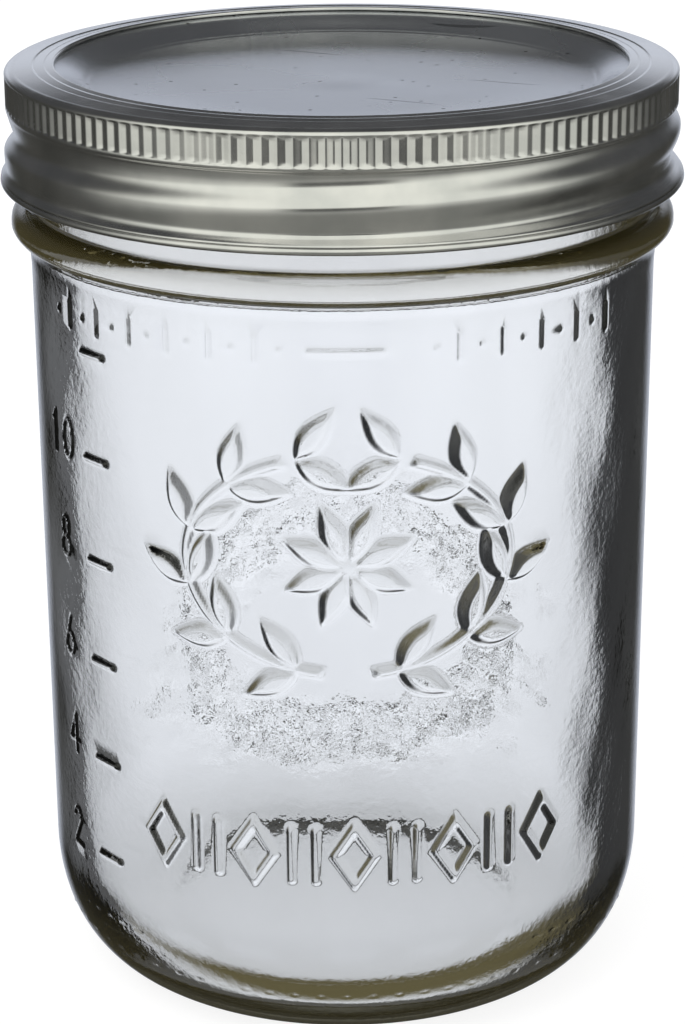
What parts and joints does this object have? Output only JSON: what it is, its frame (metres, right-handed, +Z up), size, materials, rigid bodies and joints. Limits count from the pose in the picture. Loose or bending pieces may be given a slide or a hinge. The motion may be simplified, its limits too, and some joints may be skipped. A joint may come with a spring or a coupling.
{
  "type": "wide-mouth mason jar",
  "caption": "Pint glass preserving jar with a wide threaded mouth, a flat metal lid with a sealing ring, and a knurled metal screw band that unscrews and lifts the lid.",
  "frame": {"origin": "centre of the base, on the surface that the jar stands on", "axes": "+Z up along the jar's axis; -Y is the front, the side with the fill line; +X is to the right seen from the front"},
  "size_m": [0.09, 0.09, 0.125],
  "materials": {
    "clear_glass": "clear, gloss",
    "lid_tinplate": "satin",
    "sealing_compound": "matt",
    "band_tinplate": "satin"
  },
  "bodies": {
    "jar": {"glass_jar": "clear_glass"},
    "lid": {"lid_disc": "lid_tinplate", "sealing_ring": "sealing_compound"},
    "band": {"screw_band": "band_tinplate"}
  },
  "joints": [
    {"name": "closure_lift", "type": "slide", "parent": "jar", "child": "lid", "axis": [0, 0, 1], "range_m": [0, 0.0254]},
    {"name": "band_turn", "type": "hinge", "parent": "lid", "child": "band", "pos_m": [0, 0, 0.117], "axis": [0, 0, 1], "range_deg": [0, 1440]}
  ],
  "couplings": [
    {"joint": "closure_lift", "follows": "band_turn", "m_per_rad": 0.0010106}
  ]
}
